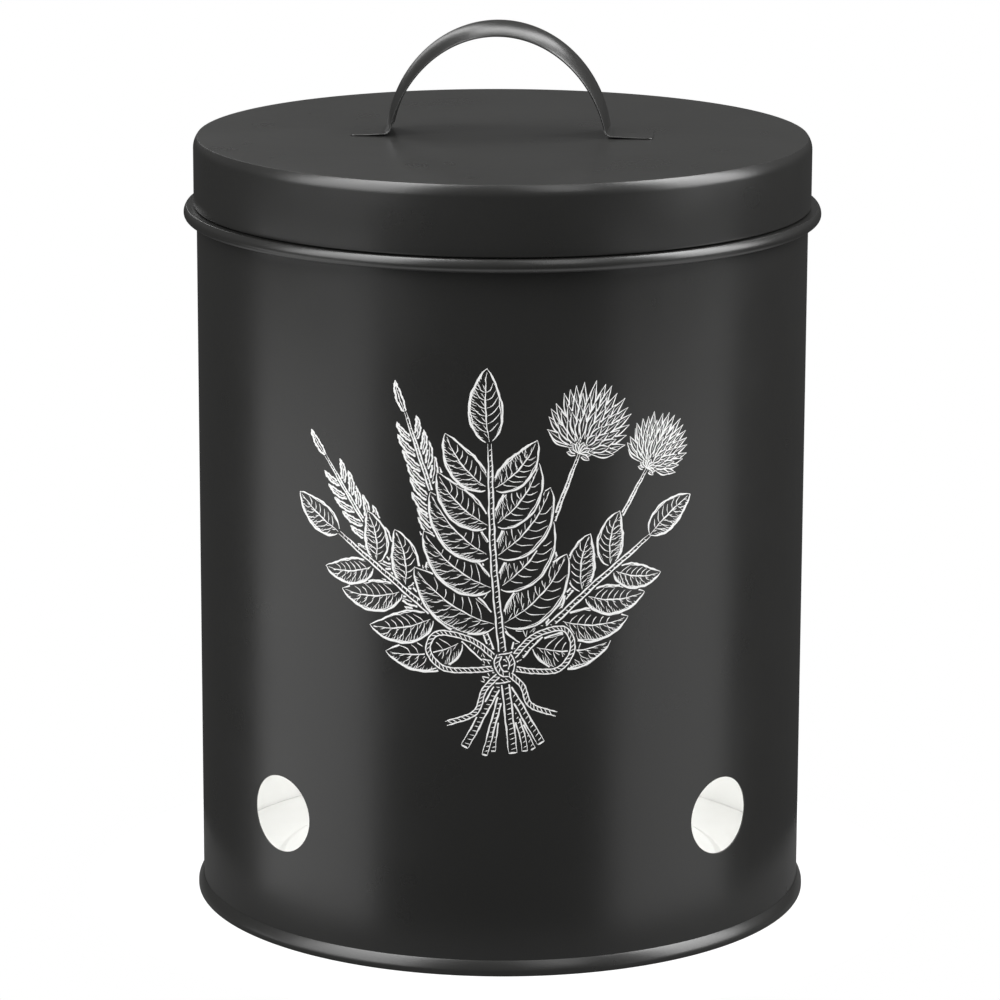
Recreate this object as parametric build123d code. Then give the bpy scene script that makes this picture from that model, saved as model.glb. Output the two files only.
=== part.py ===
from build123d import *
import math
import os

# Onion storage canister: a vented steel body with a lift-off lid, in millimetres.
# The origin is the centre of the base on the table, +Z is up and the front is towards -Y.

sheet = 0.4  # thickness of the steel that every piece is rolled or pressed from

# Rolled body wall
wall_radius = 85.0  # outside of the wall
neck_step = 0.45  # how far the neck stands inside the wall
lap_width = 5.0  # overlap of the welded joint up the back of the wall
lap_end_gap = 2.5  # where the joint is rolled flat, below the bead and above the base seam

# Stop bead, pinched shut, that the lid comes down to
bead_height = 195.2  # middle of the bead above the table
bead_radius = 1.85
bead_bite = 0.1  # how far the closed bead sits back into the wall
bead_side_count = 8

# Vents punched through the wall
vent_diameter = 21.4
vent_height = 37.7  # middle of a vent above the table
vent_count = 4
first_vent = 45.0  # turn of the first vent from the right side, in degrees

# Double seam that joins the base to the wall
seam_height = 4.5
seam_gap = 0.05  # lining between the folded layers
seam_edge = 0.35  # broken upper edge of the seam
hook_end_gap = 0.3  # free space past the end of each hook

# Base pan
base_recess = 6.0  # height of the sunk panel's underside above the table
step_radius = 62.0  # where the raised middle of the panel ends
step_height = 1.2
step_run = 2.0

# Lid
lid_play = 0.45  # between the neck and the hem of the lid
seat_gap = 0.3  # between the skirt of the lid and the bead it stops on
lid_depth = 19.0  # from the bottom of the skirt to the top of the panel
lid_corner = 3.0  # outside radius of the shoulder
shoulder_flats = 3
lid_hem = 5.0  # height of the edge folded double inside the skirt
rim_hem = 5.0  # height of the edge folded double inside the neck
rim_clearance = 0.6  # between the rim and the inside of the lid

# Handle, one pressed strap welded to the lid by its two feet
strap_width = 15.6
strap_crown = 3.3  # how far the middle of the strap stands proud of its edges, at the top
leg_crown = 1.45  # the same where the bend into the foot starts
crown_flats = 4
arch_half_span = 31.6
arch_rise = 34.95  # from the level where the arch would stand upright to its top
leg_angle = 80.0  # turn of the arch, from its top, where the bend into the foot starts
arch_steps = 8  # sections that shape half of the arch
foot_bend = 2.4  # radius between leg and foot, on the upper face of the strap's edges
bend_steps = 3  # sections that shape the bend, where the crown runs out
foot_width = 17.2  # the strap is wider where it lies flat
foot_corner = 1.2
foot_reach = 41.8  # from the middle of the handle to the end of either foot
arch_offset = -1.1  # the arch stands a little left of the middle between the feet
handle_back = 2.0  # the handle is welded a little behind the lid's middle
handle_turn = -3.0  # and a little askew, in degrees

# Body wall, worked out
wall_middle = wall_radius - sheet / 2
wall_inside = wall_radius - sheet
neck_radius = wall_radius - neck_step
neck_middle = neck_radius - sheet / 2
bead_middle = wall_radius - bead_bite + bead_radius

# Double seam, worked out from the wall outwards: cover hook, body hook and outer wall
layer = sheet + seam_gap
cover_hook_middle = wall_radius + seam_gap + sheet / 2
body_hook_middle = cover_hook_middle + layer
seam_wall_middle = body_hook_middle + layer
body_fold_middle = sheet / 2 + layer
cover_fold_middle = seam_height - sheet / 2

# Lid, worked out from the neck and the bead
lid_radius = neck_radius + lid_play + 2 * sheet
lid_bottom = bead_height + math.sqrt((bead_radius + seat_gap) ** 2 - (bead_middle - lid_radius) ** 2)
panel_top = lid_bottom + lid_depth
shoulder_middle = lid_corner - sheet / 2

# Rim of the neck: as high as the lid's panel and its shoulder leave room for
rim_top = panel_top - sheet - rim_clearance
past_shoulder = neck_radius - (lid_radius - lid_corner)
shoulder_room = lid_corner - sheet - rim_clearance
if 0 < past_shoulder < shoulder_room:
    shoulder_limit = panel_top - lid_corner + math.sqrt(shoulder_room**2 - past_shoulder**2)
    rim_top = min(rim_top, shoulder_limit)


def along(angle):
    """Unit vector in a section, at an angle from the outward direction."""
    return Vector(math.cos(math.radians(angle)), math.sin(math.radians(angle)))


def beside(line, distance):
    """The same line moved to its left, or right by a negative distance, with mitred corners."""
    headings = [(after - before).normalized() for before, after in zip(line, line[1:])]
    sides = [Vector(-heading.Y, heading.X) for heading in headings]
    moved = []
    for i, point in enumerate(line):
        before = sides[max(i - 1, 0)]
        after = sides[min(i, len(sides) - 1)]
        moved.append(point + (before + after) * (distance / (1 + before.dot(after))))
    return moved


def sheet_section(middle):
    """Face of a bent sheet from the radius and height of the points on its middle line."""
    line = [Vector(*point) for point in middle]
    outline = beside(line, sheet / 2) + beside(line, -sheet / 2)[::-1]
    return make_face(Polyline(*outline, close=True))


def turned(section):
    return revolve(Plane.XZ * section, Axis.Z)


def ring(inside, outside, bottom, top):
    place = Pos((inside + outside) / 2, (bottom + top) / 2)
    return turned(place * Rectangle(outside - inside, top - bottom))


def make_body_wall():
    """Rolled wall with a hooked lower edge, a stop bead, a stepped neck and a hemmed rim."""
    wall = turned(
        sheet_section(
            [
                (body_hook_middle, cover_fold_middle - sheet / 2 - hook_end_gap),
                (body_hook_middle, body_fold_middle),
                (wall_middle, body_fold_middle),
                (wall_middle, bead_height),
                (neck_middle, bead_height),
                (neck_middle, rim_top),
            ]
        )
    )
    wall += turned(Pos(bead_middle, bead_height) * RegularPolygon(bead_radius, bead_side_count))
    hem_outside = neck_radius - sheet
    wall += ring(hem_outside - sheet, hem_outside, rim_top - rim_hem, rim_top)

    lap_bottom = seam_height + lap_end_gap
    lap_top = bead_height - bead_radius - lap_end_gap
    lap_turn = math.degrees(lap_width / wall_radius)
    lap_face = Plane.XZ * Pos(wall_radius, (lap_bottom + lap_top) / 2) * Rectangle(sheet, lap_top - lap_bottom)
    wall += Rot(0, 0, 90 - lap_turn / 2) * revolve(lap_face, Axis.Z, lap_turn)

    punch = Cylinder(vent_diameter / 2, wall_radius / 2, rotation=(0, 90, 0))
    for i in range(vent_count):
        angle = first_vent + 360 / vent_count * i
        wall -= Rot(0, 0, angle) * Pos(wall_radius, 0, vent_height) * punch
    return wall


def make_base_pan():
    """Sunk panel with a raised middle, and a rim folded round the wall's hook."""
    chuck_middle = wall_inside - seam_gap - sheet / 2
    panel_middle = base_recess + sheet / 2
    section = sheet_section(
        [
            (0, panel_middle + step_height),
            (step_radius, panel_middle + step_height),
            (step_radius + step_run, panel_middle),
            (chuck_middle, panel_middle),
            (chuck_middle, sheet / 2),
            (seam_wall_middle, sheet / 2),
            (seam_wall_middle, cover_fold_middle),
            (cover_hook_middle, cover_fold_middle),
            (cover_hook_middle, body_fold_middle + sheet / 2 + hook_end_gap),
        ]
    )
    upper_edge = section.vertices().sort_by(Axis.X)[-2:].sort_by(Axis.Y)[-1]
    return turned(chamfer(upper_edge, seam_edge))


def make_lid_cap():
    """Drawn lid with a flat panel, a rounded shoulder and a hemmed skirt."""
    centre = Vector(lid_radius - lid_corner, panel_top - lid_corner)
    middle = [(0, panel_top - sheet / 2)]
    for i in range(shoulder_flats + 1):
        point = centre + along(90 - 90 * i / shoulder_flats) * shoulder_middle
        middle.append((point.X, point.Y))
    middle.append((lid_radius - sheet / 2, lid_bottom))
    hem_outside = lid_radius - sheet
    hem = ring(hem_outside - sheet, hem_outside, lid_bottom, lid_bottom + lid_hem)
    return turned(sheet_section(middle)) + hem


def strap_stations():
    """Right half of the strap, from its top to where its foot lies flat: middle, heading and crown."""
    stations = []
    for i in range(arch_steps + 1):
        share = i / arch_steps
        radial = along(90 - leg_angle * share)
        heading = -math.degrees(math.atan2(arch_rise * radial.X, arch_half_span * radial.Y))
        crown = leg_crown + (strap_crown - leg_crown) * (1 - share**2)
        stations.append((Vector(arch_half_span * radial.X, arch_rise * radial.Y), heading, crown))
    middle, leg_heading, crown = stations[-1]
    centre = middle + along(90 + leg_heading) * (foot_bend - leg_crown)
    for i in range(1, bend_steps + 1):
        share = i / bend_steps
        heading = leg_heading * (1 - share)
        crown = leg_crown * (1 - share) ** 2
        stations.append((centre - along(90 + heading) * (foot_bend - crown), heading, crown))
    return stations


def strap_face(middle, heading, crown):
    """Section across the strap, with its hollow side towards the lid."""
    facing = along(heading)
    plane = Plane(origin=(middle.X, 0, middle.Y), x_dir=(0, 1, 0), z_dir=(facing.X, 0, facing.Y))
    flatness = max(0, 1 - crown / leg_crown)
    half = (strap_width + (foot_width - strap_width) * flatness) / 2
    shares = [2 * i / crown_flats - 1 for i in range(crown_flats + 1)]
    top = [Vector(share * half, -crown * share**2) for share in shares]
    bottom = [point - Vector(0, sheet) for point in reversed(top)]
    return plane * make_face(Polyline(*top, *bottom, close=True))


def make_foot(start, end):
    """Flat foot on the lid between two places along the handle, rounded at its outer corners."""
    length = abs(end - start)
    place = Pos((start + end) / 2, 0, panel_top + sheet / 2)
    foot = place * Box(length, foot_width, sheet)
    outer = foot.edges().filter_by(Axis.Z).sort_by(Axis.X, reverse=end > start)[:2]
    return fillet(outer, foot_corner)


def make_lid_handle():
    """Pressed strap: a crowned arch that flattens into two welded feet."""
    stations = strap_stations()
    arch_level = panel_top + sheet - stations[-1][0].Y
    sections = []
    for middle, heading, crown in reversed(stations[1:]):
        sections.append(strap_face(Vector(-middle.X, middle.Y), -heading, crown))
    for middle, heading, crown in stations:
        sections.append(strap_face(middle, heading, crown))
    strap = Pos(arch_offset, 0, arch_level) * loft(sections, ruled=True)
    half = stations[-1][0].X
    strap += make_foot(arch_offset + half, foot_reach)
    strap += make_foot(arch_offset - half, -foot_reach)
    return Pos(0, handle_back, 0) * Rot(0, 0, handle_turn) * strap


def main():
    os.makedirs("parts", exist_ok=True)
    pieces = {
        "body_wall": make_body_wall(),
        "base_pan": make_base_pan(),
        "lid_cap": make_lid_cap(),
        "lid_handle": make_lid_handle(),
    }
    for name, piece in pieces.items():
        piece.label = name
        export_step(piece, f"parts/{name}.step")


if __name__ == "__main__":
    main()
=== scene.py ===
import math
import random

import bpy
from mathutils import Matrix, Vector


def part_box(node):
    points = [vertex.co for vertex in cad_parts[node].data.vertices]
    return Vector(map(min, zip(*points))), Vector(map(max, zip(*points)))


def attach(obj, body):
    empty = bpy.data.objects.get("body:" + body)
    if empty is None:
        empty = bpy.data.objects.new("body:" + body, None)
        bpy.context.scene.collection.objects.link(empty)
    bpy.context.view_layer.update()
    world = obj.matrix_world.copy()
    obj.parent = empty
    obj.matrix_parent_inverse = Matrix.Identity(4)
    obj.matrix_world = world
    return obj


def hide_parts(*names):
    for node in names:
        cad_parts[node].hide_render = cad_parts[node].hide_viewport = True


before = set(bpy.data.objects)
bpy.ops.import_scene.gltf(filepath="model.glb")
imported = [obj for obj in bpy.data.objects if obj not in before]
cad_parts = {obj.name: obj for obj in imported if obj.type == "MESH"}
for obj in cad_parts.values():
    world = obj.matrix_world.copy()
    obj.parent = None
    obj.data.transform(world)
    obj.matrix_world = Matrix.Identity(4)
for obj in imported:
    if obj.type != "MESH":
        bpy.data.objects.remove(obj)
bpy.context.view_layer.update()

# Onion storage canister: powder-coated sheet steel with a printed front and a lift-off lid.
# Lengths are in millimetres and become metres when a mesh is made. The front is towards -Y.

MM = 0.001


def corner(node, end, axis):
    """One coordinate of a frame node's box, in millimetres: end 0 is the lowest, 1 the highest."""
    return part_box(node)[end][axis] / MM


# Places read from the frame
seam_radius = corner("base_pan", 1, 0)
bead_reach = corner("body_wall", 1, 0)
rim_top = corner("body_wall", 1, 2)
lid_radius = corner("lid_cap", 1, 0)
lid_bottom = corner("lid_cap", 0, 2)
panel_top = corner("lid_cap", 1, 2)
handle_top = corner("lid_handle", 1, 2)

# Sheet metal
sheet = 0.4
cut_edge = 0.1  # softening that the coat gives to a cut edge
wall_radius = 85.0
wall_inside = wall_radius - sheet
neck_step = 0.45  # how far the neck stands inside the wall
neck_radius = wall_radius - neck_step
bead_height = 195.2
bead_sag = 0.2  # how far the widest place of the bead lies under its middle
bead_under = 1.65  # radius of the lower half of the bead
bead_over = 3.0  # radius of its upper half
bead_turn = 42  # degrees that the upper half turns before the ledge under the lid
bead_blend = 0.4  # hollow where the wall runs into the bead
bead_lip = 0.25  # rounding between the bead and the ledge on top of it
ledge_drop = 0.3  # how far the ledge slopes down to the neck
neck_blend = 0.5  # hollow where the ledge runs into the neck
inner_step = 1.0  # height of the neck's step on the inside
inner_blend = 0.3  # rounding of that step
hem_height = 5.0

# Double seam at the base
seam_height = 4.5
seam_gap = 0.05
seam_swell = 0.15  # how far the foot of the seam bulges
seam_waist = 1.45  # height where the upright foot of the seam ends and its face leans back
seam_lean = (19, 37)  # how far the face leans at its waist and at the wall, in degrees
seam_foot = 0.35  # rounding under the seam
seam_fold = 0.15  # rounding in the folds that touch
body_hook_depth = 2.4  # how far under the cover of the seam the wall's hook ends
cover_depth = 1.1  # how far the hollow in the seam comes down at the wall
face_depth = 2.3  # and behind the face
hook_end_gap = 0.3  # free space under the end of the base's hook
base_recess = 6.0
step_radius = 62.0
step_height = 1.2
step_run = 2.0
step_blend = 1.2  # rounding of the step in the base
panel_blend = 0.9  # rounding where the base's panel meets its upright rim

# Welded lap up the back
lap_width = 5.0
lap_bottom = 7.0
lap_top = 190.8
lap_slope = 0.15

# Vents
vent_radius = 10.7
vent_height = 37.7
vent_turns = (45, 135, 225, 315)
vent_reach = 10  # columns of the wall that the square patch round a vent takes each way
vent_rings = 6

# Lid
lid_corner = 3.0
shoulder_radius = 5.1
shoulder_turn = 38  # degrees that the shoulder turns before it meets the panel at its edge
panel_edge = 0.1  # rounding of that edge

# Handle
strap_width = 15.6
strap_crown = 3.3  # how far the middle of the strap stands proud of its edges, at the top
leg_crown = 1.45  # the same where the bend into the foot starts
arch_half_span = 31.6
arch_rise = 34.95
leg_angle = 80.0
foot_bend = 2.4
foot_width = 17.2
foot_corner = 1.2
foot_reach = 41.8
foot_lift = 0.35  # how far a foot springs off the lid at its inner end
arch_offset = -1.1
handle_back = 2.0
handle_turn = -3.0
strap_edge = 0.07  # rounding of the strap's edges
foot_edge = 0.19  # the same where the strap lies flat
weld_radius = 2.1  # the dish that a spot weld leaves
weld_depth = 0.12

# Fineness of the meshes
columns = 384
column_turn = 360 / columns
arc_step = 12.0  # degrees of turn in one straight piece of a rounded corner
arch_steps = 56
bend_steps = 14
flat_steps = 24
across_steps = 36


def along(angle):
    """Unit vector at an angle in degrees, in a section or on the print."""
    return Vector((math.cos(math.radians(angle)), math.sin(math.radians(angle))))


def arc(middle, radius, start, end):
    """Points on an arc between two angles in degrees."""
    steps = max(2, round(abs(end - start) / arc_step))
    return [middle + along(start + (end - start) * k / steps) * radius for k in range(steps + 1)]


def as_drawn(point):
    """Corner of an outline that stays as it is, without a rounding."""
    return point.x, point.y, 0


def rounded(points):
    """Closed outline through corners (radius, height, rounding), each corner drawn as an arc."""
    outline = []
    for i, (x, y, rounding) in enumerate(points):
        here = Vector((x, y))
        if rounding == 0:
            outline.append(here)
            continue
        before = (Vector(points[i - 1][:2]) - here).normalized()
        after = (Vector(points[(i + 1) % len(points)][:2]) - here).normalized()
        half = before.angle(after) / 2
        middle = here + (before + after).normalized() * (rounding / math.sin(half))
        start = before * (rounding / math.tan(half)) + here - middle
        end = after * (rounding / math.tan(half)) + here - middle
        first = math.degrees(math.atan2(start.y, start.x))
        turn = math.degrees(math.atan2(start.x * end.y - start.y * end.x, start.dot(end)))
        outline += arc(middle, rounding, first, first + turn)
    return outline


def new_piece(name, vertices, faces, materials, smooth_under=40):
    """Object from vertices in millimetres, shaded smooth where faces meet at less than an angle."""
    used = sorted({v for face in faces for v in face})
    place = {v: i for i, v in enumerate(used)}
    mesh = bpy.data.meshes.new(name)
    mesh.from_pydata(
        [Vector(vertices[v]) * MM for v in used],
        [],
        [[place[v] for v in face] for face in faces],
    )
    mesh.shade_smooth()
    mesh.set_sharp_from_angle(angle=math.radians(smooth_under))
    for material in materials:
        mesh.materials.append(material)
    piece = bpy.data.objects.new(name, mesh)
    bpy.context.scene.collection.objects.link(piece)
    return piece


def turned(outline, turns, lift=None):
    """Vertices and faces, by row and column, of a closed outline turned about Z."""
    rows = len(outline)
    vertices = []
    for turn in turns:
        for point in outline:
            radius = point.x + (lift(turn, point) if lift else 0)
            vertices.append((radius * along(turn).x, radius * along(turn).y, point.y))
    faces = {}
    for column in range(len(turns)):
        beside = (column + 1) % len(turns)
        for row in range(rows):
            above = (row + 1) % rows
            here = column * rows
            there = beside * rows
            ring = [here + row, there + row, there + above, here + above]
            if outline[row].x == 0 and outline[above].x == 0:
                continue
            if outline[row].x == 0:
                ring = [row, ring[2], ring[3]]
            elif outline[above].x == 0:
                ring = [ring[0], ring[1], above]
            faces[(row, column)] = ring
    return vertices, faces


def even_turns():
    """Turns of evenly spaced columns, in degrees."""
    return [column_turn * i for i in range(columns)]


def paint_inside(piece, is_inside):
    """Give the second material to the faces that a test of middle and normal calls inside."""
    for face in piece.data.polygons:
        radius = face.center.xy.length
        outward = face.normal.xy.dot(face.center.xy) / max(radius, MM)
        if is_inside(radius / MM, face.center.z / MM, outward, face.normal.z):
            face.material_index = 1


def bead_outline():
    """Corners of the wall round the pinched bead and in to the neck."""
    belly = Vector((bead_reach, bead_height - bead_sag))
    under = belly - Vector((bead_under, 0))
    over = belly - Vector((bead_over, 0))
    points = [(wall_radius, under.y - bead_under, bead_blend)]
    points += [as_drawn(under + along(angle) * bead_under) for angle in range(-90, 0, 9)]
    points += [as_drawn(over + along(angle) * bead_over) for angle in range(0, bead_turn, 6)]
    edge = over + along(bead_turn) * bead_over
    return points + [(edge.x, edge.y, bead_lip), (neck_radius, edge.y - ledge_drop, neck_blend)]


def patch_rows():
    """Heights of the rows in the square patch round a vent, as far apart as the columns."""
    pitch = math.radians(column_turn) * wall_radius
    return [vent_height + pitch * k for k in range(-vent_reach, vent_reach + 1)]


def wall_rows():
    """Heights of the wall's rows: those of the patches round the vents, and the lap's ends."""
    rows = patch_rows() + [lap_bottom, lap_bottom + lap_slope, lap_top - lap_slope, lap_top]
    rows += [70 + 20 * k for k in range(6)]
    return sorted(rows)


def lap_lift(turn, point):
    """How far the welded lap lifts the outside of the wall at a place."""
    half = math.degrees(lap_width / 2 / wall_radius)
    off_middle = abs((turn - 90 + 180) % 360 - 180)
    on_lap = off_middle <= half and lap_bottom < point.y < lap_top
    return sheet if on_lap and abs(point.x - wall_radius) < MM else 0


def lap_turns():
    """Turns of the wall's columns: even ones, with a narrow pair at each edge of the lap."""
    half = math.degrees(lap_width / 2 / wall_radius)
    slope = math.degrees(lap_slope / wall_radius)
    extra = [90 + side * (half + outer * slope) for side in (-1, 1) for outer in (0, 1)]
    return sorted(even_turns() + extra)


def vent_point(turn, across, height, radius):
    """Point at a tangential distance from a vent's middle, on a cylinder of a radius."""
    outward = along(turn)
    depth = math.sqrt(radius**2 - across**2)
    return (
        outward.x * depth - outward.y * across,
        outward.y * depth + outward.x * across,
        height,
    )


def punch_vent(turn, turns, rows, outer, inner, vertices, faces):
    """Swap a square of wall for rings that close in on a round hole, on both sides of the sheet."""
    middle = min(range(len(turns)), key=lambda i: abs(turns[i] - turn))
    loop = []
    for k in range(-vent_reach, vent_reach):
        loop.append((k, -vent_reach))
    for k in range(-vent_reach, vent_reach):
        loop.append((vent_reach, k))
    for k in range(vent_reach, -vent_reach, -1):
        loop.append((k, vent_reach))
    for k in range(vent_reach, -vent_reach, -1):
        loop.append((-vent_reach, k))

    def ring_from(points, radius):
        start = len(vertices)
        vertices.extend(vent_point(turn, across, height, radius) for across, height in points)
        return [start + i for i in range(len(points))]

    def bridge(first, second):
        for i in range(len(first)):
            j = (i + 1) % len(first)
            faces[("vent", turn, first[i], second[i])] = [first[i], first[j], second[j], second[i]]

    pitch = math.radians(column_turn) * wall_radius
    rims = []
    for side, radius in ((outer, wall_radius), (inner, wall_inside)):
        for column in range(middle - vent_reach, middle + vent_reach):
            for k in range(-vent_reach, vent_reach):
                row = side[k + vent_reach]
                faces.pop((min(row, side[k + 1 + vent_reach]), column % len(turns)))
        border = [(middle + c) % len(turns) * rows + side[k + vent_reach] for c, k in loop]
        square = []
        circle = []
        for c, k in loop:
            across = radius * math.sin(math.radians(c * column_turn))
            square.append(Vector((across, vent_height + pitch * k)))
            heading = Vector((c, k)).normalized()
            circle.append(Vector((0, vent_height)) + heading * (vent_radius + cut_edge))
        rings = [border]
        for step in range(1, vent_rings + 1):
            share = step / vent_rings
            rings.append(ring_from([s.lerp(c, share) for s, c in zip(square, circle)], radius))
        for first, second in zip(rings, rings[1:]):
            if side is outer:
                bridge(second, first)
            else:
                bridge(first, second)
        rims.append(rings[-1])

    headings = [Vector((c, k)).normalized() for c, k in loop]
    edge = [rims[0]]
    for widen, depth in ((0.3, 0.3), (0, 1)):
        points = [Vector((0, vent_height)) + h * (vent_radius + widen * cut_edge) for h in headings]
        edge.append(ring_from(points, wall_radius - depth * cut_edge))
    for widen, depth in ((0, 1), (0.3, 0.3)):
        points = [Vector((0, vent_height)) + h * (vent_radius + widen * cut_edge) for h in headings]
        edge.append(ring_from(points, wall_inside + depth * cut_edge))
    edge.append(rims[1])
    for first, second in zip(edge, edge[1:]):
        bridge(first, second)


def make_body_wall(coat, lacquer):
    """Rolled wall with its seam hook, vents, lap, pinched bead, neck and hemmed rim."""
    hook_inside = wall_radius + 2 * seam_gap + sheet
    hook_outside = hook_inside + sheet
    hook_end = seam_height - sheet - body_hook_depth
    fold = sheet + seam_gap
    heights = wall_rows()
    below = [
        (wall_inside, fold, sheet),
        (hook_outside, fold, sheet),
        (hook_outside, hook_end, cut_edge),
        (hook_inside, hook_end, cut_edge),
        (hook_inside, fold + sheet, seam_fold),
        (wall_radius, fold + sheet, seam_fold),
    ]
    above = [
        (neck_radius, rim_top, sheet),
        (neck_radius - 2 * sheet, rim_top, sheet),
        (neck_radius - 2 * sheet, rim_top - hem_height, cut_edge),
        (neck_radius - sheet, rim_top - hem_height, cut_edge / 2),
        (neck_radius - sheet, bead_height + inner_step, inner_blend),
        (wall_inside, bead_height, inner_blend),
    ]
    up = [(wall_radius, height, 0) for height in heights]
    up += bead_outline()
    down = [(wall_inside, height, 0) for height in reversed(heights)]
    outline = rounded(below + up + above + down)

    turns = lap_turns()
    vertices, faces = turned(outline, turns, lap_lift)

    def row_of(radius, height):
        return min(range(len(outline)), key=lambda i: (outline[i] - Vector((radius, height))).length)

    outer = [row_of(wall_radius, height) for height in patch_rows()]
    inner = [row_of(wall_inside, height) for height in patch_rows()]
    for turn in vent_turns:
        punch_vent(turn, turns, len(outline), outer, inner, vertices, faces)
    piece = new_piece("canister_wall", vertices, list(faces.values()), [coat, lacquer])

    def is_inside(radius, height, outward, up):
        return radius < wall_inside + MM and outward < -0.5

    paint_inside(piece, is_inside)
    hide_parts("body_wall")
    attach(piece, "canister")


def seam_face():
    """Corners of the seam's upright foot and of its face, which bends over towards the wall."""
    reach = seam_radius + seam_swell
    run = along(seam_lean[0]).x - along(seam_lean[1]).x
    bend = (reach - wall_radius - seam_gap) / run
    middle = Vector((reach, seam_waist)) - along(seam_lean[0]) * bend
    points = [middle + along(angle) * bend for angle in range(seam_lean[0], seam_lean[1] + 1, 3)]
    waist = (points[0].x, points[0].y, 1.5)
    edge = (points[-1].x, points[-1].y, 0.02)
    return [(reach, 0, seam_foot), waist, *map(as_drawn, points[1:-1]), edge]


def make_base_pan(coat, lacquer):
    """Sunk base with a raised middle and its rim folded into the double seam."""
    chuck = wall_inside - seam_gap
    cover = wall_radius + seam_gap
    hook_end = 2 * sheet + seam_gap + hook_end_gap
    hollow_top = seam_height - sheet
    inner_wall = seam_radius - sheet
    top = base_recess + sheet
    outline = rounded(
        [
            (0, base_recess + step_height, 0),
            (step_radius, base_recess + step_height, step_blend),
            (step_radius + step_run, base_recess, step_blend),
            (chuck - sheet, base_recess, 0.5),
            (chuck - sheet, 0, sheet),
            *seam_face(),
            (cover, hook_end, cut_edge),
            (cover + sheet, hook_end, cut_edge),
            (cover + sheet, hollow_top - cover_depth, 0.1),
            (inner_wall, hollow_top - face_depth, 0.2),
            (inner_wall, sheet, 0.2),
            (chuck, sheet, seam_fold),
            (chuck, top, panel_blend),
            (step_radius + step_run, top, step_blend),
            (step_radius, top + step_height, step_blend),
            (0, top + step_height, 0),
        ]
    )
    vertices, faces = turned(outline, even_turns())
    piece = new_piece("canister_base", vertices, list(faces.values()), [coat, lacquer])

    def is_inside(radius, height, outward, up):
        return radius < chuck and height > base_recess and up > 0

    paint_inside(piece, is_inside)
    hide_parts("base_pan")
    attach(piece, "canister")


def lid_shoulder():
    """Corners of the shoulder, from the skirt up to the crisp edge of the panel."""
    drop = shoulder_radius * along(shoulder_turn).y
    middle = Vector((lid_radius - shoulder_radius, panel_top - drop))
    points = [middle + along(angle) * shoulder_radius for angle in range(0, shoulder_turn, 5)]
    edge = middle + along(shoulder_turn) * shoulder_radius
    return [*map(as_drawn, points), (edge.x, edge.y, panel_edge)]


def make_lid(coat, lacquer):
    """Drawn lid with a round shoulder and an edge hemmed on its inside."""
    skirt_inside = lid_radius - sheet
    outline = rounded(
        [
            (0, panel_top - sheet, 0),
            (skirt_inside, panel_top - sheet, lid_corner - sheet),
            (skirt_inside, lid_bottom + hem_height, cut_edge / 2),
            (skirt_inside - sheet, lid_bottom + hem_height, cut_edge),
            (skirt_inside - sheet, lid_bottom, sheet),
            (lid_radius, lid_bottom, sheet),
            *lid_shoulder(),
            (0, panel_top, 0),
        ]
    )
    vertices, faces = turned(outline, even_turns())
    piece = new_piece("lid_pressing", vertices, list(faces.values()), [coat, lacquer])

    def is_inside(radius, height, outward, up):
        within = radius < skirt_inside and height > lid_bottom + sheet
        return within and (up < -0.1 or outward < -0.5)

    paint_inside(piece, is_inside)
    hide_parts("lid_cap")
    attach(piece, "lid")


def strap_stations(side):
    """One half of the strap, top to toe: place, normal, crown, half-width and distance to the weld."""
    stations = []
    for i in range(arch_steps + 1):
        share = i / arch_steps
        radial = along(90 - leg_angle * share)
        place = Vector((radial.x * arch_half_span, radial.y * arch_rise))
        normal = Vector((radial.x / arch_half_span, radial.y / arch_rise)).normalized()
        crown = leg_crown + (strap_crown - leg_crown) * (1 - share**2)
        stations.append((place, normal, crown, strap_width / 2))
    leg_end, leg_normal = stations[-1][:2]
    leg_tilt = 90 - math.degrees(math.atan2(leg_normal.y, leg_normal.x))
    bend = leg_end + leg_normal * (foot_bend - leg_crown)
    for i in range(1, bend_steps + 1):
        share = i / bend_steps
        normal = along(90 - leg_tilt * (1 - share))
        crown = leg_crown * (1 - share) ** 2
        half = strap_width / 2 + (foot_width - strap_width) / 2 * (1 - crown / leg_crown)
        lift = Vector((0, foot_lift * share**2))
        stations.append((bend - normal * (foot_bend - crown) + lift, normal, crown, half))
    flat = foot_reach - side * arch_offset - bend.x
    toe = [foot_corner * (1 - math.cos(math.radians(angle))) for angle in range(0, 91, 10)]
    toe += [foot_corner + (flat - foot_corner) * i / flat_steps for i in range(1, flat_steps)]
    for left in sorted(toe, reverse=True):
        half = foot_width / 2
        if left < foot_corner:
            half -= foot_corner - math.sqrt(foot_corner**2 - (foot_corner - left) ** 2)
        place = bend + Vector((flat - left, foot_lift * (left / flat) ** 2 - foot_bend))
        stations.append((place, Vector((0, 1)), 0, half))
    level = handle_top - arch_rise
    weld = bend.x + flat / 2
    placed = []
    for place, normal, crown, half in stations:
        off_weld = abs(place.x - weld) if crown == 0 else flat
        place = Vector((side * place.x, place.y + level))
        placed.append((place, Vector((side * normal.x, normal.y)), crown, half, off_weld))
    return placed


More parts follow.
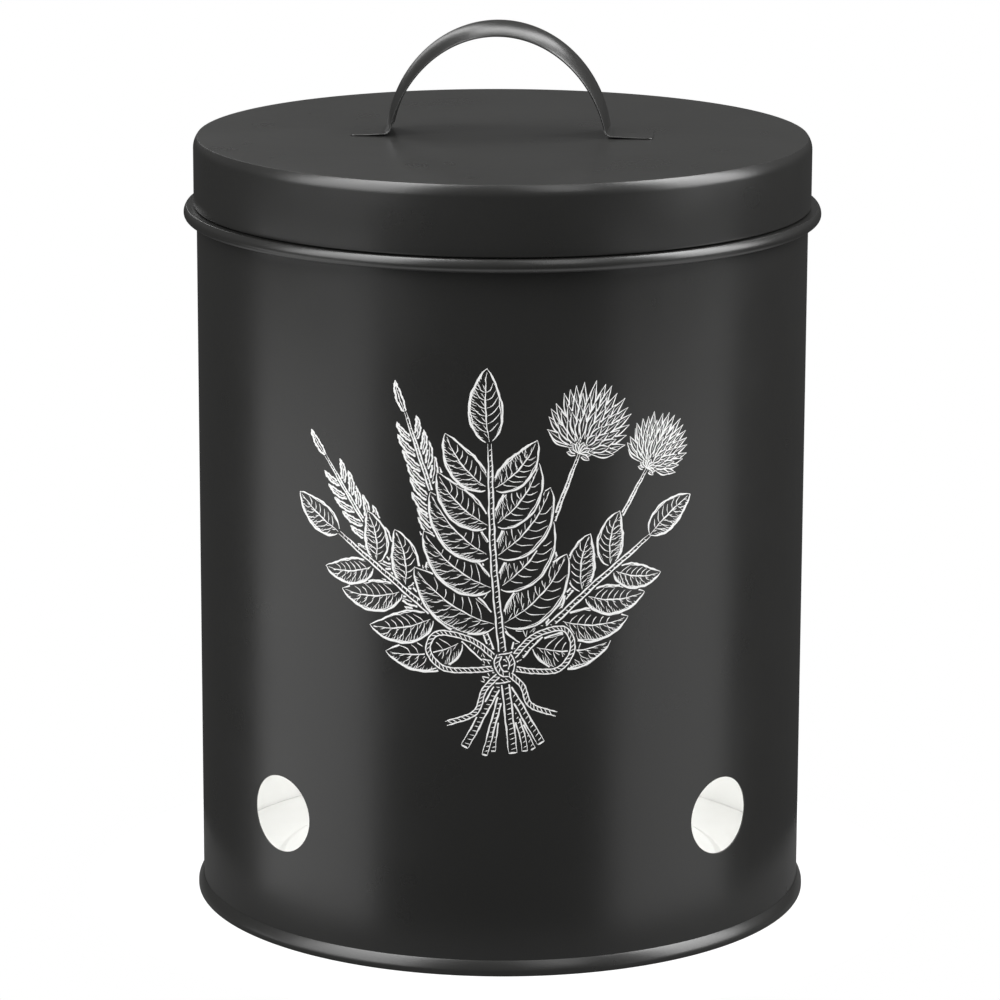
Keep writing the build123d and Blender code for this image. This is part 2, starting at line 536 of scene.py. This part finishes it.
def strap_ring(place, normal, crown, half, off_weld):
    """Section across the strap: its top, an edge, its underside and the other edge."""
    flatness = max(0, 1 - crown / leg_crown)
    round_off = strap_edge + (foot_edge - strap_edge) * flatness
    top = []
    bottom = []
    for i in range(across_steps + 1):
        y = (2 * i / across_steps - 1) * (half - round_off)
        drop = crown * (y / half) ** 2
        reach = math.hypot(y, off_weld) / weld_radius
        dish = weld_depth * (1 - reach**2) ** 2 if reach < 1 else 0
        top.append((y, -drop - dish))
        bottom.append((y, -drop - sheet))
    fall = crown * (1 - (1 - round_off / half) ** 2)
    high = top[-1][1] - fall / 2
    low = bottom[-1][1] - fall / 2
    edge = []
    for angle in (60, 30, 0):
        out = along(angle) * round_off
        edge.append((half - round_off + out.x, high - round_off + out.y))
    for angle in (0, -30, -60):
        out = along(angle) * round_off
        edge.append((half - round_off + out.x, low + round_off + out.y))
    loop = top + edge + bottom[::-1] + [(-y, n) for y, n in reversed(edge)]
    turn = along(handle_turn)
    ring = []
    for y, n in loop:
        point = place + normal * n
        x = point.x + arch_offset
        ring.append((x * turn.x - y * turn.y, x * turn.y + y * turn.x + handle_back, point.y))
    return ring


def make_handle(coat):
    """Pressed strap handle: crowned arch, two bends and two flat feet with spot-weld dishes."""
    rings = [strap_ring(*station) for station in reversed(strap_stations(-1)[1:])]
    rings += [strap_ring(*station) for station in strap_stations(1)]
    size = len(rings[0])
    vertices = [vertex for ring in rings for vertex in ring]
    faces = []
    for r in range(len(rings) - 1):
        for i in range(size):
            j = (i + 1) % size
            faces.append([r * size + i, r * size + j, (r + 1) * size + j, (r + 1) * size + i])
    last = (len(rings) - 1) * size
    faces.append(list(reversed(range(size))))
    faces.append([last + i for i in range(size)])
    piece = new_piece("lid_strap", vertices, faces, [coat], smooth_under=50)
    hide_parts("lid_handle")
    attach(piece, "lid")


# Printed drawing: a tied bunch of herbs in white line work, laid out flat in millimetres
# from the middle of the front, across and up, and then wrapped round the wall.

print_foot = Vector((-1.0, 62.0))  # the point of the drawing that its scale leaves in place
print_scale = 1.08
ink_height = 0.03
ink_spread = 0.02  # how much the height differs between strokes, so that crossings stay clean
ink_sunk = 0.02
pen_step = 0.8  # distance between the points of a stroke
outline_pen = 0.56  # widths of the pen strokes
fine_pen = 0.3
hatch_pen = 0.24
halo = 0.45  # bare margin that a shape keeps from what lies behind it
hand = random.Random(11)


class Drawing:
    """Pen strokes, drawn from the front to the back: what lies behind a finished shape is left out."""

    def __init__(self):
        self.strokes = []
        self.covers = []

    def cover(self, outline):
        """Hide what is drawn later inside an outline."""
        xs = [point.x for point in outline]
        ys = [point.y for point in outline]
        self.covers.append((min(xs), max(xs), min(ys), max(ys), outline))

    def hidden(self, point):
        """Whether a finished shape covers a point."""
        return any(
            left < point.x < right and low < point.y < high and inside(outline, point)
            for left, right, low, high, outline in self.covers
        )

    def finish(self, run):
        """Keep a run of points, unless it is too short to see."""
        if len(run) > 2:
            self.strokes.append(run)

    def stroke(self, points, width, taper=0.35, wobble=0.08):
        """A line through points that thins towards its ends, drawn by an unsteady hand."""
        line = smooth_line([Vector(p) for p in points])
        shake = [hand.uniform(0, 2 * math.pi) for _ in range(3)]
        run = []
        for i, point in enumerate(line):
            if self.hidden(point):
                self.finish(run)
                run = []
                continue
            share = i / (len(line) - 1)
            across = sideways(line, i)
            sway = math.sin(i * 0.55 + shake[0]) + 0.6 * math.sin(i * 1.3 + shake[1])
            ends = min(1.0, min(share, 1 - share) / taper)
            thick = width * (0.25 + 0.75 * ends) * (1 + 0.18 * math.sin(i * 0.9 + shake[2]))
            run.append((point + across * sway * wobble, across, thick / 2))
        self.finish(run)


def inside(outline, point):
    """Whether a point lies inside a closed outline."""
    odd = False
    for a, b in zip(outline, outline[1:] + outline[:1]):
        if (a.y > point.y) != (b.y > point.y):
            odd ^= point.x < a.x + (b.x - a.x) * (point.y - a.y) / (b.y - a.y)
    return odd


def sideways(line, i):
    """Unit vector to the left of a line at one of its points."""
    ahead = line[min(i + 1, len(line) - 1)] - line[max(i - 1, 0)]
    return Vector((-ahead.y, ahead.x)).normalized()


def smooth_line(points, spacing=pen_step):
    """Curve through points, sampled at an even spacing."""
    if len(points) == 2:
        points = [points[0], (points[0] + points[1]) / 2, points[1]]
    padded = [points[0] * 2 - points[1]] + points + [points[-1] * 2 - points[-2]]
    fine = []
    for i in range(1, len(padded) - 2):
        a, b, c, d = padded[i - 1 : i + 3]
        steps = max(2, round((c - b).length / spacing))
        for k in range(steps):
            t = k / steps
            square = a * 2 - b * 5 + c * 4 - d
            cube = b * 3 - a - c * 3 + d
            fine.append((b * 2 + (c - a) * t + square * t**2 + cube * t**3) / 2)
    fine.append(points[-1])
    return fine


def ribbon(line, start, end):
    """The two edges of a strip along a line, as its width goes from one value to another."""
    edges = ([], [])
    for i, point in enumerate(line):
        half = (start + (end - start) * i / len(line)) / 2
        edges[0].append(point + sideways(line, i) * half)
        edges[1].append(point - sideways(line, i) * half)
    return edges


def cover_ribbon(pen, line, start, end):
    """Hide what is drawn later behind a strip along a line."""
    left, right = ribbon(line, start + 2 * halo, end + 2 * halo)
    pen.cover(left + right[::-1])


def draw_cord(pen, points, width=1.15):
    """Twisted twine: two edges with slanting strands between them."""
    line = smooth_line([Vector(p) for p in points], 0.55)
    edges = ribbon(line, width, width)
    for edge in edges:
        pen.stroke(edge, 0.34, 0.05, 0.03)
    for i in range(1, len(line) - 2, 2):
        pen.stroke([edges[0][i - 1], edges[1][i + 1]], hatch_pen, 0.4, 0.0)
    cover_ribbon(pen, line, width, width)


def draw_stem(pen, points, width):
    """A stem that narrows towards its tip, hatched on one side."""
    line = smooth_line([Vector(p) for p in points], 1.3)
    edges = ribbon(line, width, width * 0.4)
    for edge in edges:
        pen.stroke(edge, 0.42, 0.08, 0.05)
    pen.stroke([edges[0][0], edges[1][0]], 0.42, 0.2, 0.02)
    for i in range(1, len(line) - 1):
        pen.stroke([edges[1][i], line[i].lerp(edges[0][i - 1], 0.35)], 0.22, 0.5, 0.02)
    cover_ribbon(pen, line, width, width * 0.4)
    return line


def leaf_spot(root, tip, bend, width, share, out, margin=0.0):
    """Point on a bowed leaf, at a share of its length and of its half-width."""
    way = tip - root
    side = Vector((-way.y, way.x))
    point = root + way * share + side * (bend * 4 * share * (1 - share))
    heading = (way + side * (bend * 4 * (1 - 2 * share))).normalized()
    half = width / 2 * math.sin(math.pi * share**0.8) ** 0.8
    return point + Vector((-heading.y, heading.x)) * (out * half + math.copysign(margin, out))


def draw_leaf(pen, root, tip, width, bend=0.0, shade=1, veins=6):
    """A leaf with its midrib, and when it is broad with curved veins and a hatched half."""
    steps = 18

    def spot(share, out, margin=0.0):
        return leaf_spot(root, tip, bend, width, share, out, margin)

    for side in (-1, 1):
        edge = [spot(k / steps, side) for k in range(steps + 1)]
        pen.stroke(edge, outline_pen if side == shade else outline_pen - 0.1, 0.12, 0.07)
    midrib = [spot(k / steps, 0.0) for k in range(steps)]
    pen.stroke(midrib, 0.42 if veins else fine_pen, 0.5, 0.05)
    if veins:
        draw_veins(pen, spot, (tip - root).length, shade, veins)
    around = [spot(k / steps, 1, halo) for k in range(steps + 1)]
    around += [spot(k / steps, -1, halo) for k in range(steps, -1, -1)]
    pen.cover(around)


def draw_veins(pen, spot, length, shade, veins):
    """Veins, an inner line along the edge and hatching on the shaded half of a leaf."""
    for side in (-1, 1):
        pen.stroke([spot(0.12 + 0.07 * k, side * 0.9) for k in range(11)], hatch_pen, 0.4, 0.12)
        for k in range(1, veins + 1):
            share = 0.05 + 0.74 * k / (veins + 1)
            reach = hand.uniform(0.62, 0.88)
            vein = [spot(share + 0.2 * t * t, side * t) for t in (0.04, reach / 2, reach)]
            pen.stroke(vein, fine_pen, 0.6, 0.04)
    marks = round(length * 1.3)
    for k in range(marks):
        share = 0.08 + 0.84 * k / marks
        deep = hand.uniform(0.4, 0.82)
        outer = spot(share + 0.05, shade * 0.97)
        half_way = spot(share + 0.02, shade * (1 + deep) / 2)
        pen.stroke([outer, half_way, spot(share, shade * deep)], hatch_pen, 0.7, 0.03)
        if k % 3 == 0:
            by_midrib = spot(share + 0.07, shade * hand.uniform(0.2, 0.34))
            pen.stroke([spot(share, shade * 0.05), by_midrib], 0.2, 0.5, 0.03)


def draw_sprig(pen, points, width, pairs, length, breadth, spread, start=0.42, shade=1, veins=6):
    """A stem with pairs of leaves that get smaller towards the one at its tip."""
    line = draw_stem(pen, points, width)
    ahead = (line[-1] - line[-3]).normalized()
    tip = line[-1] + ahead * length * 0.75
    draw_leaf(pen, line[-1], tip, length * 0.75 * breadth, 0.04, shade, veins)
    for k in reversed(range(pairs)):
        at = round((start + (0.95 - start) * k / pairs) * (len(line) - 1))
        across = sideways(line, at)
        angle = math.degrees(math.atan2(-across.x, across.y))
        for side in (-1, 1):
            way = along(angle + side * (spread - 10 * k / pairs) + hand.uniform(-4, 4))
            root = line[at] + way * width * 0.4
            size = length * (1 - 0.42 * k / pairs) * hand.uniform(0.92, 1.06)
            draw_leaf(pen, root, root + way * size, size * breadth, 0.09 * side, shade, veins)


def draw_petal(pen, start, rim, width):
    """A pointed petal with a line down its middle."""
    belly = start.lerp(rim, 0.55)
    side = sideways([start, rim], 0) * width
    edges = [smooth_line([start, belly + side * way, rim]) for way in (1, -1)]
    for edge in edges:
        pen.stroke(edge, 0.36, 0.3, 0.02)
    pen.stroke([start.lerp(rim, 0.3), start.lerp(rim, 0.82)], 0.2, 0.5, 0.02)
    pen.cover(edges[0] + edges[1][::-1])


def draw_flower(pen, points, radius):
    """A stem with a round head of pointed petals that fan out in rings behind each other."""
    line = draw_stem(pen, points, 1.35)
    heading = (line[-1] - line[-3]).normalized()
    base = math.degrees(math.atan2(heading.y, heading.x))
    root = line[-1]
    middle = root + heading * radius * 0.75
    for k in range(9):
        way = along(base + (k - 4) * 26 + hand.uniform(-4, 4))
        draw_petal(pen, root, root + way * radius * 0.3, radius * 0.06)
    for reach, count, fan in ((0.3, 7, 300), (0.52, 11, 270), (0.74, 15, 260), (1.0, 21, 262)):
        for k in range(count):
            turn = base + (k - (count - 1) / 2) * fan / count + hand.uniform(-3, 3)
            rim = middle + along(turn) * radius * reach * hand.uniform(0.95, 1.05)
            draw_petal(pen, root.lerp(rim, 0.35), rim, radius * 0.085)


def draw_tie(pen, middle, width):
    """Turns of twine round the bunch, and a bow with two loose ends."""
    knot = middle + Vector((0.8, 0.2))
    for loop in (
        ((-1.2, 2.4), (-1.9, 0.2), (-0.6, -2.2), (1.0, -2.4)),
        ((0.9, 2.5), (1.9, 0.4), (1.4, -2.0)),
    ):
        draw_cord(pen, [knot + Vector(p) for p in loop], 1.3)
    for side, wide, tall in ((-1, 19.0, 7.6), (1, 17.0, 8.8)):
        loop = [(1.2, 0.8), (wide * 0.42, tall * 0.8), (wide * 0.86, tall), (wide, tall * 0.42)]
        loop += [(wide * 0.8, -tall * 0.16), (wide * 0.42, -tall * 0.2), (1.4, -0.8)]
        draw_cord(pen, [knot + Vector((side * x, y)) for x, y in loop])
    for side, far, low in ((-1, 14.5, 15.5), (1, 13.0, 13.0)):
        tail = [(0.8, -2.0), (far * 0.34, -low * 0.42), (far * 0.5, -low * 0.8), (far, -low)]
        draw_cord(pen, [knot + Vector((side * x, y)) for x, y in tail])
    for k in range(5):
        level = middle + Vector((0, (k - 2) * 1.5))
        turn = ((-width / 2, -0.5), (-width / 5, -1.0), (width / 5, -0.5), (width / 2, 0.6))
        draw_cord(pen, [level + Vector(p) for p in turn], 1.3)


def draw_bunch():
    """The whole drawing, from the front to the back: tie, leafy sprigs, flowers and needled twigs."""
    pen = Drawing()
    draw_tie(pen, Vector((0.0, 85.0)), 9.6)
    draw_sprig(pen, [(3, 62.5), (0.6, 85), (-2, 112), (-3, 141)], 2.1, 5, 25, 0.44, 47)
    draw_sprig(pen, [(-9, 64), (2.8, 85), (21, 103), (38, 116)], 1.9, 4, 20, 0.47, 50, 0.44, -1)
    draw_sprig(pen, [(10, 65), (-2.6, 85), (-24, 103), (-42, 116)], 1.9, 4, 20, 0.47, 50, 0.44)
    draw_flower(pen, [(-4, 62), (2, 85), (11, 116), (19, 138)], 10.5)
    draw_flower(pen, [(6, 63), (3.6, 85), (24, 112), (37, 133)], 8.5)
    draw_sprig(pen, [(-2, 63), (-1.5, 85), (-13, 116), (-24, 148)], 1.4, 13, 11, 0.19, 34, 0.4, 1, 0)
    draw_sprig(pen, [(8, 63.5), (-3.6, 85), (-29, 112), (-46, 135)], 1.3, 11, 10, 0.19, 34, 0.45, 1, 0)
    return pen


def make_print(ink):
    """Every stroke as a thin closed ribbon of ink wrapped round the wall."""
    vertices = []
    faces = []
    for stroke in draw_bunch().strokes:
        start = len(vertices)
        top = wall_radius + ink_height + hand.uniform(-ink_spread, ink_spread) / 2
        under = wall_radius - ink_sunk
        for point, across, half in stroke:
            for side, radius in ((1, top), (-1, top), (-1, under), (1, under)):
                place = print_foot + (point - print_foot) * print_scale + across * half * side
                turn = place.x / wall_radius
                vertices.append((radius * math.sin(turn), -radius * math.cos(turn), place.y))
        for i in range(len(stroke) - 1):
            here = start + 4 * i
            for k in range(4):
                n = (k + 1) % 4
                faces.append([here + n, here + k, here + 4 + k, here + 4 + n])
        end = start + 4 * (len(stroke) - 1)
        faces.append([start, start + 1, start + 2, start + 3])
        faces.append([end + 3, end + 2, end + 1, end])
    piece = new_piece("printed_drawing", vertices, faces, [ink], smooth_under=30)
    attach(piece, "canister")


# Materials, surroundings, camera and lamps

world_fill = 0.2  # strength of the even light from all round
# How bright the room is in reflections, from straight down (-1) over level (0) to straight up (1)
room_levels = ((-1, 0.9), (-0.75, 0.8), (-0.5, 0.05), (0.0, 0.04), (0.12, 0.1), (1, 0.1))
floor_radius = 118
floor_steps = 96
floor_drop = 0.02  # how far the floor lies under the canister
floor_white = 0.88  # how bright the floor shows before light falls on it


def new_material(name):
    """A material with its nodes, its links and its main shader."""
    material = bpy.data.materials.new(name)
    material.use_nodes = True
    nodes = material.node_tree.nodes
    return material, nodes, material.node_tree.links, nodes["Principled BSDF"]


def add_noise(nodes, links, scale, detail):
    """Noise in the object's own metres."""
    place = nodes.new("ShaderNodeTexCoord")
    noise = nodes.new("ShaderNodeTexNoise")
    noise.inputs["Scale"].default_value = scale
    noise.inputs["Detail"].default_value = detail
    links.new(place.outputs["Object"], noise.inputs["Vector"])
    return noise


def add_range(nodes, links, source, low, high):
    """A value spread from the middle of a noise to between two limits."""
    spread = nodes.new("ShaderNodeMapRange")
    spread.inputs["From Min"].default_value = 0.3
    spread.inputs["From Max"].default_value = 0.7
    spread.inputs["To Min"].default_value = low
    spread.inputs["To Max"].default_value = high
    links.new(source, spread.inputs["Value"])
    return spread.outputs["Result"]


def add_bump(nodes, links, source, strength, depth, before=None):
    """A bump from a height, on top of an earlier one if there is one."""
    bump = nodes.new("ShaderNodeBump")
    bump.inputs["Strength"].default_value = strength
    bump.inputs["Distance"].default_value = depth
    links.new(source, bump.inputs["Height"])
    if before:
        links.new(before, bump.inputs["Normal"])
    return bump.outputs["Normal"]


def add_tint(nodes, links, source, dark, light):
    """A colour between two tints that follows a noise."""
    ramp = nodes.new("ShaderNodeValToRGB")
    ramp.color_ramp.elements[0].position = 0.3
    ramp.color_ramp.elements[0].color = (*dark, 1)
    ramp.color_ramp.elements[1].position = 0.7
    ramp.color_ramp.elements[1].color = (*light, 1)
    links.new(source, ramp.inputs["Fac"])
    return ramp.outputs["Color"]


def powder_coat():
    """Charcoal powder coat: fine grain, a soft ripple under it, and a low sheen."""
    material, nodes, links, shader = new_material("powder_coat")
    grain = add_noise(nodes, links, 2600, 2)
    ripple = add_noise(nodes, links, 420, 2)
    cloud = add_noise(nodes, links, 45, 3)
    tint = add_tint(nodes, links, grain.outputs["Fac"], (0.015, 0.015, 0.0144), (0.019, 0.019, 0.0182))
    links.new(tint, shader.inputs["Base Color"])
    links.new(add_range(nodes, links, cloud.outputs["Fac"], 0.27, 0.31), shader.inputs["Roughness"])
    normal = add_bump(nodes, links, ripple.outputs["Fac"], 0.08, 0.0002)
    normal = add_bump(nodes, links, grain.outputs["Fac"], 0.25, 0.00004, normal)
    links.new(normal, shader.inputs["Normal"])
    shader.inputs["Specular IOR Level"].default_value = 0.7
    return material


def inside_lacquer():
    """Pale lacquer on the inside of the canister and the lid."""
    material, nodes, links, shader = new_material("inside_lacquer")
    cloud = add_noise(nodes, links, 60, 3)
    tint = add_tint(nodes, links, cloud.outputs["Fac"], (0.84, 0.84, 0.82), (0.88, 0.88, 0.865))
    links.new(tint, shader.inputs["Base Color"])
    links.new(add_range(nodes, links, cloud.outputs["Fac"], 0.34, 0.42), shader.inputs["Roughness"])
    ripple = add_noise(nodes, links, 500, 2)
    links.new(add_bump(nodes, links, ripple.outputs["Fac"], 0.05, 0.0002), shader.inputs["Normal"])
    return material


def print_ink():
    """White screen-print ink, matt and slightly uneven."""
    material, nodes, links, shader = new_material("print_ink")
    cover = add_noise(nodes, links, 900, 2)
    tint = add_tint(nodes, links, cover.outputs["Fac"], (0.94, 0.94, 0.93), (0.98, 0.98, 0.97))
    links.new(tint, shader.inputs["Base Color"])
    links.new(add_range(nodes, links, cover.outputs["Fac"], 0.5, 0.62), shader.inputs["Roughness"])
    links.new(add_bump(nodes, links, cover.outputs["Fac"], 0.15, 0.00003), shader.inputs["Normal"])
    return material


def background_mix(nodes, links, white, plain, surface):
    """White for the camera and for reflections, and the plain shader for all other light."""
    path = nodes.new("ShaderNodeLightPath")
    either = path.outputs["Is Camera Ray"]
    for seen in ("Is Glossy Ray", "Is Transmission Ray"):
        pick = nodes.new("ShaderNodeMath")
        pick.operation = "MAXIMUM"
        links.new(either, pick.inputs[0])
        links.new(path.outputs[seen], pick.inputs[1])
        either = pick.outputs["Value"]
    mix = nodes.new("ShaderNodeMixShader")
    links.new(either, mix.inputs["Fac"])
    links.new(plain, mix.inputs[1])
    links.new(white, mix.inputs[2])
    links.new(mix.outputs["Shader"], surface)


def set_world():
    """White for the camera, a dim room in reflections and a weak fill for all other light."""
    world = bpy.data.worlds.new("studio")
    world.use_nodes = True
    bpy.context.scene.world = world
    nodes = world.node_tree.nodes
    links = world.node_tree.links
    plain = nodes["Background"]
    plain.inputs["Color"].default_value = (1, 1, 1, 1)
    plain.inputs["Strength"].default_value = world_fill
    white = nodes.new("ShaderNodeBackground")
    white.inputs["Color"].default_value = (1, 1, 1, 1)
    room = nodes.new("ShaderNodeBackground")
    place = nodes.new("ShaderNodeTexCoord")
    parts = nodes.new("ShaderNodeSeparateXYZ")
    links.new(place.outputs["Generated"], parts.inputs["Vector"])
    height = nodes.new("ShaderNodeMapRange")
    height.inputs["From Min"].default_value = -1
    links.new(parts.outputs["Z"], height.inputs["Value"])
    levels = nodes.new("ShaderNodeValToRGB")
    ramp = levels.color_ramp
    while len(ramp.elements) < len(room_levels):
        ramp.elements.new(0.5)
    for element, (rise, level) in zip(ramp.elements, room_levels):
        element.position = (rise + 1) / 2
        element.color = (level, level, level, 1)
    links.new(height.outputs["Result"], levels.inputs["Fac"])
    links.new(levels.outputs["Color"], room.inputs["Color"])
    path = nodes.new("ShaderNodeLightPath")
    seen = nodes.new("ShaderNodeMixShader")
    links.new(path.outputs["Is Camera Ray"], seen.inputs["Fac"])
    links.new(room.outputs["Background"], seen.inputs[1])
    links.new(white.outputs["Background"], seen.inputs[2])
    surface = nodes["World Output"].inputs["Surface"]
    background_mix(nodes, links, seen.outputs["Shader"], plain.outputs["Background"], surface)


def make_floor():
    """Pale round floor that shows white to the camera, with the object's faint shadow."""
    rim = [along(360 * i / floor_steps) * floor_radius for i in range(floor_steps)]
    outer = [(point.x, point.y, -floor_drop) for point in rim]
    material, nodes, links, shader = new_material("floor")
    shader.inputs["Base Color"].default_value = (0.1, 0.1, 0.1, 1)
    shader.inputs["Roughness"].default_value = 0.9
    white = nodes.new("ShaderNodeEmission")
    white.inputs["Strength"].default_value = floor_white
    lit = nodes.new("ShaderNodeAddShader")
    shade = nodes.new("ShaderNodeBsdfDiffuse")
    shade.inputs["Color"].default_value = (0.2, 0.2, 0.2, 1)
    links.new(white.outputs["Emission"], lit.inputs[0])
    links.new(shade.outputs["BSDF"], lit.inputs[1])
    path = nodes.new("ShaderNodeLightPath")
    mix = nodes.new("ShaderNodeMixShader")
    links.new(path.outputs["Is Camera Ray"], mix.inputs["Fac"])
    links.new(shader.outputs["BSDF"], mix.inputs[1])
    links.new(lit.outputs["Shader"], mix.inputs[2])
    links.new(mix.outputs["Shader"], nodes["Material Output"].inputs["Surface"])
    floor = new_piece("floor", outer, [list(range(floor_steps))], [material])


def grade_lamp(lamp, low):
    """Fade a soft box from its full brightness at the top to a share of it at the bottom."""
    lamp.use_nodes = True
    nodes = lamp.node_tree.nodes
    links = lamp.node_tree.links
    place = nodes.new("ShaderNodeNewGeometry")
    parts = nodes.new("ShaderNodeSeparateXYZ")
    fade = nodes.new("ShaderNodeMapRange")
    fade.inputs["To Min"].default_value = low
    links.new(place.outputs["Parametric"], parts.inputs["Vector"])
    links.new(parts.outputs["Y"], fade.inputs["Value"])
    links.new(fade.outputs["Result"], nodes["Emission"].inputs["Strength"])


def make_lamp(name, turn, rise, distance, size, radiance, low=1.0, upright=False):
    """Soft box at a turn to the right and a rise, which faces the canister or stands upright."""
    middle = Vector((0, 0, lamp_aim))
    level = Vector((math.sin(math.radians(turn)), -math.cos(math.radians(turn)), 0))
    away = (level + Vector((0, 0, math.tan(math.radians(rise))))).normalized()
    lamp = bpy.data.lights.new(name, "AREA")
    lamp.shape = "RECTANGLE"
    lamp.size = size[0]
    lamp.size_y = size[1]
    lamp.energy = radiance * math.pi * size[0] * size[1]
    holder = bpy.data.objects.new(name, lamp)
    holder.location = middle + away * distance
    holder.rotation_euler = (level if upright else away).to_track_quat("Z", "Y").to_euler()
    holder.visible_camera = False
    if low < 1:
        grade_lamp(lamp, low)
    bpy.context.scene.collection.objects.link(holder)


lamp_aim = 0.12  # height of the place that the lamps are turned and raised about, in metres
inner_lamp_size = 0.13
inner_lamp_height = 0.06
inner_lamp_power = 0.085  # in watts, just enough to show the pale inside through the vents

camera_distance = 1.2996
camera_height = 0.4226
camera_pitch = 13.45  # degrees below level
camera_roll = 0.203
camera_lens = 170.3
camera_shift = -0.00145  # how far the picture's middle is off the optical axis, in picture widths


def make_camera():
    """Long lens in front of the canister, looking a little down."""
    camera = bpy.data.cameras.new("camera")
    camera.sensor_width = 36
    camera.lens = camera_lens
    camera.shift_x = camera_shift
    holder = bpy.data.objects.new("camera", camera)
    holder.location = (0, -camera_distance, camera_height)
    pitch = Matrix.Rotation(math.radians(90 - camera_pitch), 3, "X")
    holder.rotation_euler = (pitch @ Matrix.Rotation(math.radians(camera_roll), 3, "Z")).to_euler()
    bpy.context.scene.collection.objects.link(holder)
    bpy.context.scene.camera = holder


def light_scene():
    """Two tall soft boxes, three at the back, two low strips, a front fill and a lamp inside."""
    make_lamp("key_left", -57, 57, 1.836, (0.84, 2.88), 13.5, low=0.2, upright=True)
    make_lamp("key_right", 80, 39, 1.287, (0.64, 1.45), 13.0, low=0.35, upright=True)
    make_lamp("top_back", 172, 74, 1.2, (0.8, 0.3), 7.2)
    make_lamp("back_left", -155, 36, 1.2, (0.26, 1.05), 5.0, low=0.2)
    make_lamp("back_right", 132, 54, 1.2, (0.3, 0.45), 7.0)
    make_lamp("strip_left", -71, -21.5, 0.53, (0.48, 0.32), 0.91, upright=True)
    make_lamp("strip_right", 64, -22, 0.53, (0.45, 0.32), 0.69, upright=True)
    make_lamp("front_fill", 24, 45, 1.3, (0.35, 0.9), 2.0)
    lamp = bpy.data.lights.new("inside", "AREA")
    lamp.shape = "DISK"
    lamp.size = inner_lamp_size
    lamp.energy = inner_lamp_power
    holder = bpy.data.objects.new("inside", lamp)
    holder.location = (0, 0, inner_lamp_height)
    holder.visible_camera = False
    bpy.context.scene.collection.objects.link(holder)


coat = powder_coat()
lacquer = inside_lacquer()
ink = print_ink()
make_body_wall(coat, lacquer)
make_base_pan(coat, lacquer)
make_lid(coat, lacquer)
make_handle(coat)
make_print(ink)

make_floor()
set_world()
light_scene()
make_camera()
bpy.context.scene.view_settings.view_transform = "Standard"
